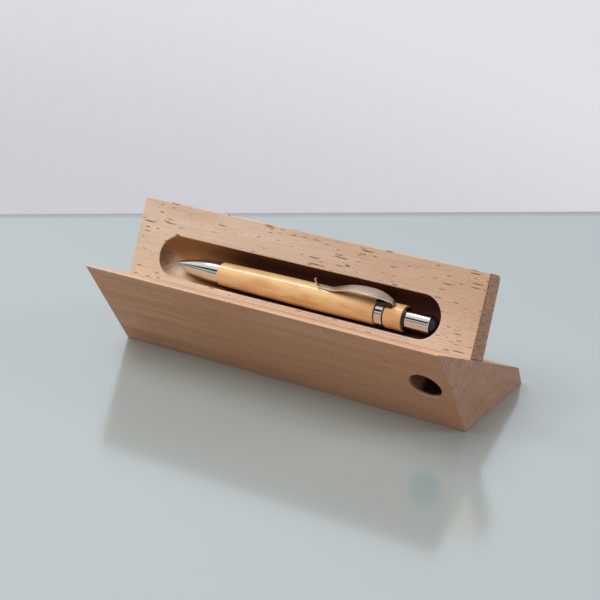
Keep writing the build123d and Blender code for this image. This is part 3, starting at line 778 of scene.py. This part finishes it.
# The dome is half an ellipse: (length * sin a, radius * cos a) for a from 0 to 90 degrees.
rise = np.radians(np.linspace(0, 90, 17))
dome = [
    (pusher_end - SOFT_TIP_PLUG_LENGTH, 0),
    (pusher_end - SOFT_TIP_PLUG_LENGTH, SOFT_TIP_PLUG_D / 2),
    (pusher_end, SOFT_TIP_PLUG_D / 2),
    (pusher_end, SOFT_TIP_D / 2 - SOFT_TIP_LAND),
    *((pusher_end + SOFT_TIP_LENGTH * sin(a), SOFT_TIP_D / 2 * cos(a)) for a in rise),
]
solid("soft_tip_rubber", [laid(turned(dome, 96))], rubber, "button", ["soft_tip"])

# Clip and its mount.
# The clip is a leaf of spring steel, bowed along its length, satin nickel plated, and
# hooked round the nose of a glossy black moulded mount that is pinned through the ring.
CLIP_SHEET = 0.6
CLIP_WIDTH = 5.5
CLIP_HEEL_WIDTH = 1.5
CLIP_LIP_WIDTH = 1.2
CLIP_ROOT_WIDTH = 1.8
CLIP_LIP_HEIGHT = 2.7
CLIP_BOW = 4.15
CLIP_HEEL_FROM_RING = 28.2
CLIP_HEEL_GAP = 0.15
CLIP_HEEL_SLOPE = 5.0
CLIP_HEEL_BEND_R = 1.6
CLIP_HEEL_TURN = 88.0
CLIP_LIP_SPAN = 3.0
CLIP_PIVOT_FIT = 0.15
CLIP_CURL_FROM = 5.0
CLIP_CURL_TO = 66.0
CLIP_LEAF_LINE = [(0.16, 0.14), (0.31, 0.52), (0.47, 0.89), (0.7, 1.0), (0.905, 0.85)]
CLIP_LEAF_PLAN = [(0.15, 0.46), (0.45, 0.82), (0.7, 1.0), (0.905, 0.83)]
MOUNT_WIDTH = 4.0
MOUNT_HEIGHT = 2.1
MOUNT_LENGTH = 6.0
MOUNT_NOSE_R = 1.45
CLIP_EDGE_SHARE = 0.42
MOUNT_EDGE = 0.25
MOUNT_LIFT = 0.05
# Satin nickel plating on a brushed leaf: a soft grey-beige face with fine lengthwise lines
# 0.4 mm wide, drawn coarser than they are. The leaf's side edges are a little smoother and have a painted
# highlight: their colour is painted paler.
satin_nickel, tree, shader, mm = blank("satin_nickel_spring_steel")
clip_across = (0, cos(radians(CLIP_TURN)), sin(radians(CLIP_TURN)))
normal = add(tree, "TexCoord", out="Normal")
# Mask of the leaf's side edges, for their painted highlight and smoother finish.
edge_highlight_and_polish = add(tree, "VectorMath", {0: normal, 1: clip_across}, "Value", operation="DOT_PRODUCT")
edge_highlight_and_polish = add(tree, "Math", {0: edge_highlight_and_polish}, operation="ABSOLUTE")
edge_highlight_and_polish = add(tree, "MapRange", {0: edge_highlight_and_polish, 1: 0.35, 2: 0.75}, **SMOOTH)
brushed = add(tree, "VectorMath", {0: mm, 1: (8.33, 0.385, 0.385)}, operation="DIVIDE")
brushed = add(tree, "TexNoise", {"Vector": brushed, "Scale": 1.0, "Detail": 3.0})
satin = add(tree, "MapRange", {0: brushed, 1: 0.3, 2: 0.7, 3: 0.36, 4: 0.50}, **SMOOTH)
polish = add(tree, "Math", {0: edge_highlight_and_polish, 1: 0.2}, operation="MULTIPLY")
finish = {
    "Metallic": 1.0,
    "Base Color": layered(tree, color("b5a898"), color("f2ece2"), edge_highlight_and_polish),
    "Roughness": add(tree, "Math", {0: satin, 1: polish}, operation="SUBTRACT"),
    "Normal": add(tree, "Bump", {"Height": brushed, "Strength": 0.12, "Distance": 0.01 * MM}),
}
fill(shader, finish)

saddle_r = RING_D / 2 + MOUNT_LIFT
mount_start = ring_start + GASKET_T
mount_top = saddle_r + MOUNT_HEIGHT
pivot = np.array([mount_start + MOUNT_LENGTH, mount_top - MOUNT_NOSE_R])
curl_r = MOUNT_NOSE_R + CLIP_PIVOT_FIT + CLIP_SHEET / 2
leaf_base = LOWER_BELLY_D / 2 + CLIP_SHEET / 2
heel = np.array([ring_start - CLIP_HEEL_FROM_RING, leaf_base + CLIP_HEEL_GAP])
leaf_length = pivot[0] - heel[0]


def smooth_line(knots, count, slopes=(None, None)):
    """Cubic spline through knots in chord length: on each stretch of length h it is the Hermite
    cubic whose knot slopes make the curvature continuous. An end without a slope is left
    uncurved, which is 2 * its slope + the next = 3 * the chord."""
    knots = np.asarray(knots, float)
    h = np.linalg.norm(np.diff(knots, axis=0), axis=1)
    chords = np.diff(knots, axis=0) / h[:, None]
    n = len(knots)
    matrix, right = np.eye(n), np.zeros((n, 2))
    for k, beside, chord, slope in ((0, 1, 0, slopes[0]), (n - 1, n - 2, n - 2, slopes[1])):
        if slope is None:
            matrix[k, k], matrix[k, beside], slope = 2, 1, 3 * chords[chord]
        right[k] = slope
    for k in range(1, n - 1):
        matrix[k, k - 1 : k + 2] = h[k], 2 * (h[k - 1] + h[k]), h[k - 1]
        right[k] = 3 * (h[k - 1] * chords[k] + h[k] * chords[k - 1])
    slope = np.linalg.solve(matrix, right)
    line = []
    for k in range(n - 1):
        t = np.linspace(0, 1, count, endpoint=k == n - 2)[:, None]
        line.append(
            (2 * t**3 - 3 * t**2 + 1) * knots[k]
            + (t**3 - 2 * t**2 + t) * h[k] * slope[k]
            + (3 * t**2 - 2 * t**3) * knots[k + 1]
            + (t**3 - t**2) * h[k] * slope[k + 1]
        )
    return np.concatenate(line)


turn_in = np.radians(np.linspace(CLIP_CURL_FROM, CLIP_CURL_TO, 13))
curl = pivot + curl_r * np.column_stack([np.cos(turn_in), np.sin(turn_in)])
heading = radians(180 + CLIP_HEEL_SLOPE)
leaf_knots = [(heel[0] + leaf_length * s, leaf_base + CLIP_BOW * up) for s, up in CLIP_LEAF_LINE]
slopes = ((-sin(turn_in[-1]), cos(turn_in[-1])), (cos(heading), sin(heading)))
leaf = smooth_line([curl[-1], *leaf_knots[::-1], heel], 14, slopes)
bend_angle = np.radians(np.linspace(0, CLIP_HEEL_TURN, 13))
bend_center = heel + CLIP_HEEL_BEND_R * np.array([sin(heading), -cos(heading)])
bend_out = np.column_stack([-np.sin(heading - bend_angle), np.cos(heading - bend_angle)])
heel_bend = bend_center + CLIP_HEEL_BEND_R * bend_out
lip_way = np.array([bend_out[-1, 1], -bend_out[-1, 0]])
lip = heel_bend[-1] + np.linspace(0, CLIP_LIP_HEIGHT, 8)[1:, None] * lip_way
clip_line = np.concatenate([curl[:-1], leaf, heel_bend[1:], lip])

plan = [(heel[0] - CLIP_LIP_SPAN, CLIP_LIP_WIDTH / 2), (heel[0], CLIP_HEEL_WIDTH / 2)]
plan += [(heel[0] + leaf_length * s, CLIP_WIDTH / 2 * share) for s, share in CLIP_LEAF_PLAN]
plan = smooth_line([*plan, (pivot[0] + curl_r + CLIP_SHEET, CLIP_ROOT_WIDTH / 2)], 20)
half_width = np.interp(clip_line[:, 0], plan[:, 0], plan[:, 1])
way = np.gradient(clip_line, axis=0)
way /= np.linalg.norm(way, axis=1)[:, None]
side = np.column_stack([-way[:, 1], way[:, 0]])
# The leaf's section is its width by its thickness with four rounded edges, carried along it.
edge = CLIP_SHEET * CLIP_EDGE_SHARE
around = []
for sx, sy in ((1, 1), (-1, 1), (-1, -1), (1, -1)):
    around += [(sx, sy, edge * (1 - cos(a)), edge * (1 - sin(a))) for a in ARC_STEPS[:: sx * sy]]
rows = []
for sx, sy, in_x, in_y in around + around[:1]:
    across = sx * (half_width - in_x)
    off_line = clip_line + side * sy * (CLIP_SHEET / 2 - in_y)
    rows.append(np.column_stack([off_line[:, 0], across, off_line[:, 1]]))
clip_grid = laid(np.stack(rows, 1))
solid("clip_leaf_nickel", [clip_grid], satin_nickel, "spring_clip", ["clip"], ends=True, sharp=40)

# The mount's side is a bar with a round nose, cut off below where it meets the saddle: at
# a place y across, that is the height sqrt(saddle radius^2 - y^2). Its top drops towards its
# sides by MOUNT_EDGE * across^6, and its places across crowd together there.
across = np.linspace(-1, 1, 15)
across = np.sign(across) * (1 - (1 - np.abs(across)) ** 1.6)
y = across * MOUNT_WIDTH / 2
floor_z = np.sqrt(saddle_r**2 - y**2)
nose_from = np.arcsin((floor_z - pivot[1]) / MOUNT_NOSE_R)
nose_turn = nose_from[:, None] + (pi / 2 - nose_from)[:, None] * np.linspace(0, 1, 13)
drop = (MOUNT_EDGE * across**6)[:, None]
nose_x = pivot[0] + MOUNT_NOSE_R * np.cos(nose_turn)
nose_z = pivot[1] + MOUNT_NOSE_R * np.sin(nose_turn)
nose_z -= drop * np.linspace(0, 1, 13)
flat_x = np.append(np.linspace(pivot[0], mount_start + MOUNT_EDGE, 12)[1:], mount_start)
flat_z = np.append(np.full(11, mount_top), mount_top - MOUNT_EDGE) - drop
under = np.linspace(0, 1, 12)
under_x = mount_start + (nose_x[:, :1] - mount_start) * under
side_x = np.hstack([nose_x, np.repeat(flat_x[None], len(y), 0), under_x])
side_z = np.hstack([nose_z, flat_z, np.repeat(floor_z[:, None], 12, 1)])
shell = np.stack([side_x, np.repeat(y[:, None], side_x.shape[1], 1), side_z], -1)
solid("clip_mount_abs", [laid(shell)], black_abs, "pen", ["clip_mount"], ends=True)

# Inner pieces.
# Inside the barrel are a brass liner, an acetal click mechanism and a polypropylene refill
# tube with a turned brass point, in their CAD shapes, and a drawn-steel return spring, which
# is wound here.
SPRING_WIRE = 0.5
SPRING_D = 4.4
SPRING_LENGTH = 20.0
SPRING_TURNS = 10


def inner(name, tint, second, size, rough, metal):
    """Plain finish of an inner piece: two tones of one material in patches of size mm."""
    material, tree, shader, mm = blank(name)
    patches = add(tree, "TexNoise", {"Vector": mm, "Scale": 1 / size, "Detail": 3.0})
    sockets = {0: patches, 1: 0.3, 2: 0.7, 3: rough, 4: rough + 0.15}
    finish = {
        "Base Color": layered(tree, color(tint), color(second), patches),
        "Roughness": add(tree, "MapRange", sockets, **SMOOTH),
        "Metallic": metal,
    }
    fill(shader, finish)
    return material


# Turned brass is a warm mirror, acetal and polypropylene are milky white with a soft sheen,
# and drawn spring steel is a darker grey mirror.
turned_brass = inner("turned_brass", "c9a45c", "b98f48", 1.1, 0.22, 1.0)
acetal = inner("moulded_acetal", "e6e6e2", "dadad4", 2.0, 0.38, 0.0)
tube_plastic = inner("extruded_polypropylene", "dcdcd8", "c8c8c4", 2.5, 0.30, 0.0)
wire_steel = inner("drawn_spring_steel", "9c9c9e", "86868a", 0.5, 0.25, 1.0)
for material, slot, names in (
    (turned_brass, "brass", ("barrel_liner", "refill_point")),
    (acetal, "white_plastic", ("cam_sleeve", "plunger", "rotor")),
    (tube_plastic, "white_plastic", ("refill_tube",)),
):
    for name in names:
        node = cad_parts[name]
        node.data.materials.clear()
        node.data.materials.append(material)

# The spring's centre line is a helix of radius R about the pen: at angle a its place is
# (seat + wire / 2 + pitch * a / 2 pi, R cos a, R sin a), and the wire is a circle around it.
coil_r = (SPRING_D - SPRING_WIRE) / 2
pitch = (SPRING_LENGTH - SPRING_WIRE) / SPRING_TURNS
angle = np.linspace(0, 2 * pi * SPRING_TURNS, 28 * SPRING_TURNS + 1)[:, None]
outward = np.hstack([0 * angle, np.cos(angle), np.sin(angle)])
onward = np.hstack([0 * angle + pitch / (2 * pi), -coil_r * np.sin(angle), coil_r * np.cos(angle)])
onward /= np.linalg.norm(onward, axis=1)[:, None]
sideways = np.cross(onward, outward)
center_line = coil_r * outward
center_line[:, :1] += SPRING_SEAT + SPRING_WIRE / 2 + pitch * angle / (2 * pi)
turn = np.linspace(0, 2 * pi, 13)[None, :, None]
wire = outward[:, None] * np.cos(turn) + sideways[:, None] * np.sin(turn)
wire = center_line[:, None] + SPRING_WIRE / 2 * wire
spring = solid(
    "return_spring_wire", [laid(wire)], wire_steel, "pen", ["return_spring"], ends=True
)
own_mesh(spring)

# Table, room light and camera.
# The box stands on a pale glass-topped table whose far edge runs behind it, through EDGE_A and
# EDGE_B, in front of a pale wall. Soft lamps hang above and at the right, and the camera looks
# down on it from the front, a little to the right.
EDGE_A = np.array([-254.0, 77.3])
EDGE_B = np.array([35.8, 250.0])
TABLE_REACH = 1600.0
TABLE_T = 10.0
run = (EDGE_B - EDGE_A) / np.linalg.norm(EDGE_B - EDGE_A)
toward = np.array([run[1], -run[0]])
middle = (EDGE_A + EDGE_B) / 2
ways = ((-1, 0), (1, 0), (1, 2), (-1, 2))
corners = [middle + (run * a + toward * b) * TABLE_REACH for a, b in ways]
table_mesh = bpy.data.meshes.new("table_top")
table_points = [(*c * MM, z * MM) for z in (0, -TABLE_T) for c in corners]
table_faces = [(3, 2, 1, 0), (4, 5, 6, 7), (0, 1, 5, 4), (1, 2, 6, 5), (2, 3, 7, 6), (3, 0, 4, 7)]
table_mesh.from_pydata(table_points, [], table_faces)
table = bpy.data.objects.new("table_top", table_mesh)
bpy.context.scene.collection.objects.link(table)
# Back-painted glass: pale green-grey, very smooth, and mirroring about two fifths of the light
# at this slope. The light that it throws back on the box is tinted warm, as in the photo's
# room. Along its far edge a line about 5 mm wide is painted darker than the top: it sets
# in between EDGE_FROM and EDGE_TO from the edge.
EDGE_FROM = 9.0
EDGE_TO = 2.0
glass, tree, shader, mm = blank("pale_glass_table")
rays = add(tree, "LightPath").node.outputs
seen = add(tree, "Math", {0: rays["Is Camera Ray"], 1: rays["Is Glossy Ray"]}, operation="MAXIMUM")
seen = add(tree, "Math", {0: seen, 1: rays["Is Transmission Ray"]}, operation="MAXIMUM")
tone = layered(tree, color("8a6b3a"), color("a2b0af"), seen)
from_edge = add(tree, "VectorMath", {0: mm, 1: (*toward, 0)}, "Value", operation="DOT_PRODUCT")
edge_at = float(middle @ toward)
sockets = {0: from_edge, 1: edge_at + EDGE_FROM, 2: edge_at + EDGE_TO, 3: 0.0, 4: 0.55}
edge_line = add(tree, "MapRange", sockets, **SMOOTH)
finish = {
    "Base Color": layered(tree, tone, color("5f6468"), edge_line),
    "Roughness": 0.16,
    "IOR": 2.4,
    "Specular IOR Level": 1.0,
}
fill(shader, finish)
table_mesh.materials.append(glass)

# What the pen's chrome mirrors is a pale room with a broad white card overhead, a narrow
# grey one in front, and dark gaps between them. The place in the room is the angle about
# the pen, from the front horizon (0) over the top (90) to the wall behind (180 degrees).
# Matt surfaces get an even light of strength AMBIENT from the room.
WALL = "d7d5de"
AMBIENT = 0.20
room_cards = (
    (0, "9a958c"), (7, "9a958c"), (9, "1c1a18"), (14, "1c1a18"), (17, "c0c2c0"), (32, "c6c8c6"),
    (36, "161616"), (50, "161616"), (54, "f2f2f2"), (101, "fafafa"), (106, WALL),
)
world = bpy.data.worlds.new("room")
bpy.context.scene.world = world
world.use_nodes = True
tree = world.node_tree
rays = add(tree, "LightPath").node.outputs
way = add(tree, "TexCoord", out="Generated")
part = add(tree, "SeparateXYZ", {0: way}).node.outputs
frontward = add(tree, "Math", {0: part[1], 1: -1.0}, operation="MULTIPLY")
climb = add(tree, "Math", {0: part[2], 1: frontward}, operation="ARCTAN2")
climb = add(tree, "Math", {0: climb, 1: 1 / pi}, operation="MULTIPLY")
cards = add(tree, "ValToRGB", {0: climb})
ramp = cards.node.color_ramp
for k, (degrees, tint) in enumerate(room_cards):
    stop = ramp.elements[k] if k < 2 else ramp.elements.new(degrees / 180)
    stop.position, stop.color = degrees / 180, color(tint)
leftward = add(tree, "MapRange", {0: part[0], 1: -0.12, 2: -0.28}, **SMOOTH)
mirrored = layered(tree, color(WALL), cards, leftward)
lit = layered(tree, (AMBIENT, AMBIENT, AMBIENT, 1), mirrored, rays["Is Glossy Ray"])
# The wall that the camera sees is a little darker low down and to the left.
height = add(tree, "VectorMath", {0: way, 1: (3.5, 0, 10)}, "Value", operation="DOT_PRODUCT")
height = add(tree, "MapRange", {0: height, 1: -5.6, 2: -4.1}, **SMOOTH)
seen_wall = layered(tree, color("cecdd4"), color("e0e1e5"), height)
fill(tree.nodes["Background"], {"Color": layered(tree, lit, seen_wall, rays["Is Camera Ray"])})


def pose(thing, across, up, place):
    """Puts a lamp or the camera at a place in mm, with its X along across and its Y along up."""
    matrix = np.eye(4)
    matrix[:3, :3] = np.column_stack([across, up, np.cross(across, up)])
    matrix[:3, 3] = np.array(place) * MM
    thing.matrix_world = Matrix(matrix.tolist())
    bpy.context.scene.collection.objects.link(thing)


def lamp(name, place, aim, size, power, mirrored_too=True):
    """Soft lamp of a size (along X, across) at a place, facing aim, all in mm, with its power in
    watts. One that isn't mirrored too lights the piece without showing in it."""
    light = bpy.data.lights.new(name, "AREA")
    light.shape = "RECTANGLE"
    light.size, light.size_y = size[0] * MM, size[1] * MM
    light.energy = power
    holder = bpy.data.objects.new(name, light)
    holder.visible_glossy = mirrored_too
    back = np.array(place, float) - np.array(aim, float)
    back /= np.linalg.norm(back)
    across = np.cross((0, 1, 0.001), back)
    across /= np.linalg.norm(across)
    pose(holder, across, np.cross(back, across), place)


# The softbox overhead shapes the wood, the strip high at the left is the thin line of light on
# the lacquer, and the fill lights the blocks' right ends.
lamp("overhead_softbox", (-330, -420, 1150), (0, 0, 20), (900, 900), 15, mirrored_too=False)
lamp("strip_light", (-660, 120, 1130), (0, 0, 30), (520, 200), 3.2)
lamp("side_fill", (1100, 420, 480), (0, 0, 30), (500, 500), 5.5, mirrored_too=False)

# The camera was fitted to the box's edges: its place, and the picture's right and up.
CAMERA_PLACE = (360.93, -545.75, 328.73)
CAMERA_RIGHT = (0.838257, 0.544925, -0.019517)
CAMERA_UP = (-0.208604, 0.353553, 0.911858)
LENS = 97.1
SENSOR = 36.0
camera_data = bpy.data.cameras.new("camera")
camera_data.lens = LENS
camera_data.sensor_width = SENSOR
camera = bpy.data.objects.new("camera", camera_data)
pose(camera, CAMERA_RIGHT, CAMERA_UP, CAMERA_PLACE)
bpy.context.scene.camera = camera
bpy.context.scene.view_settings.view_transform = "Standard"
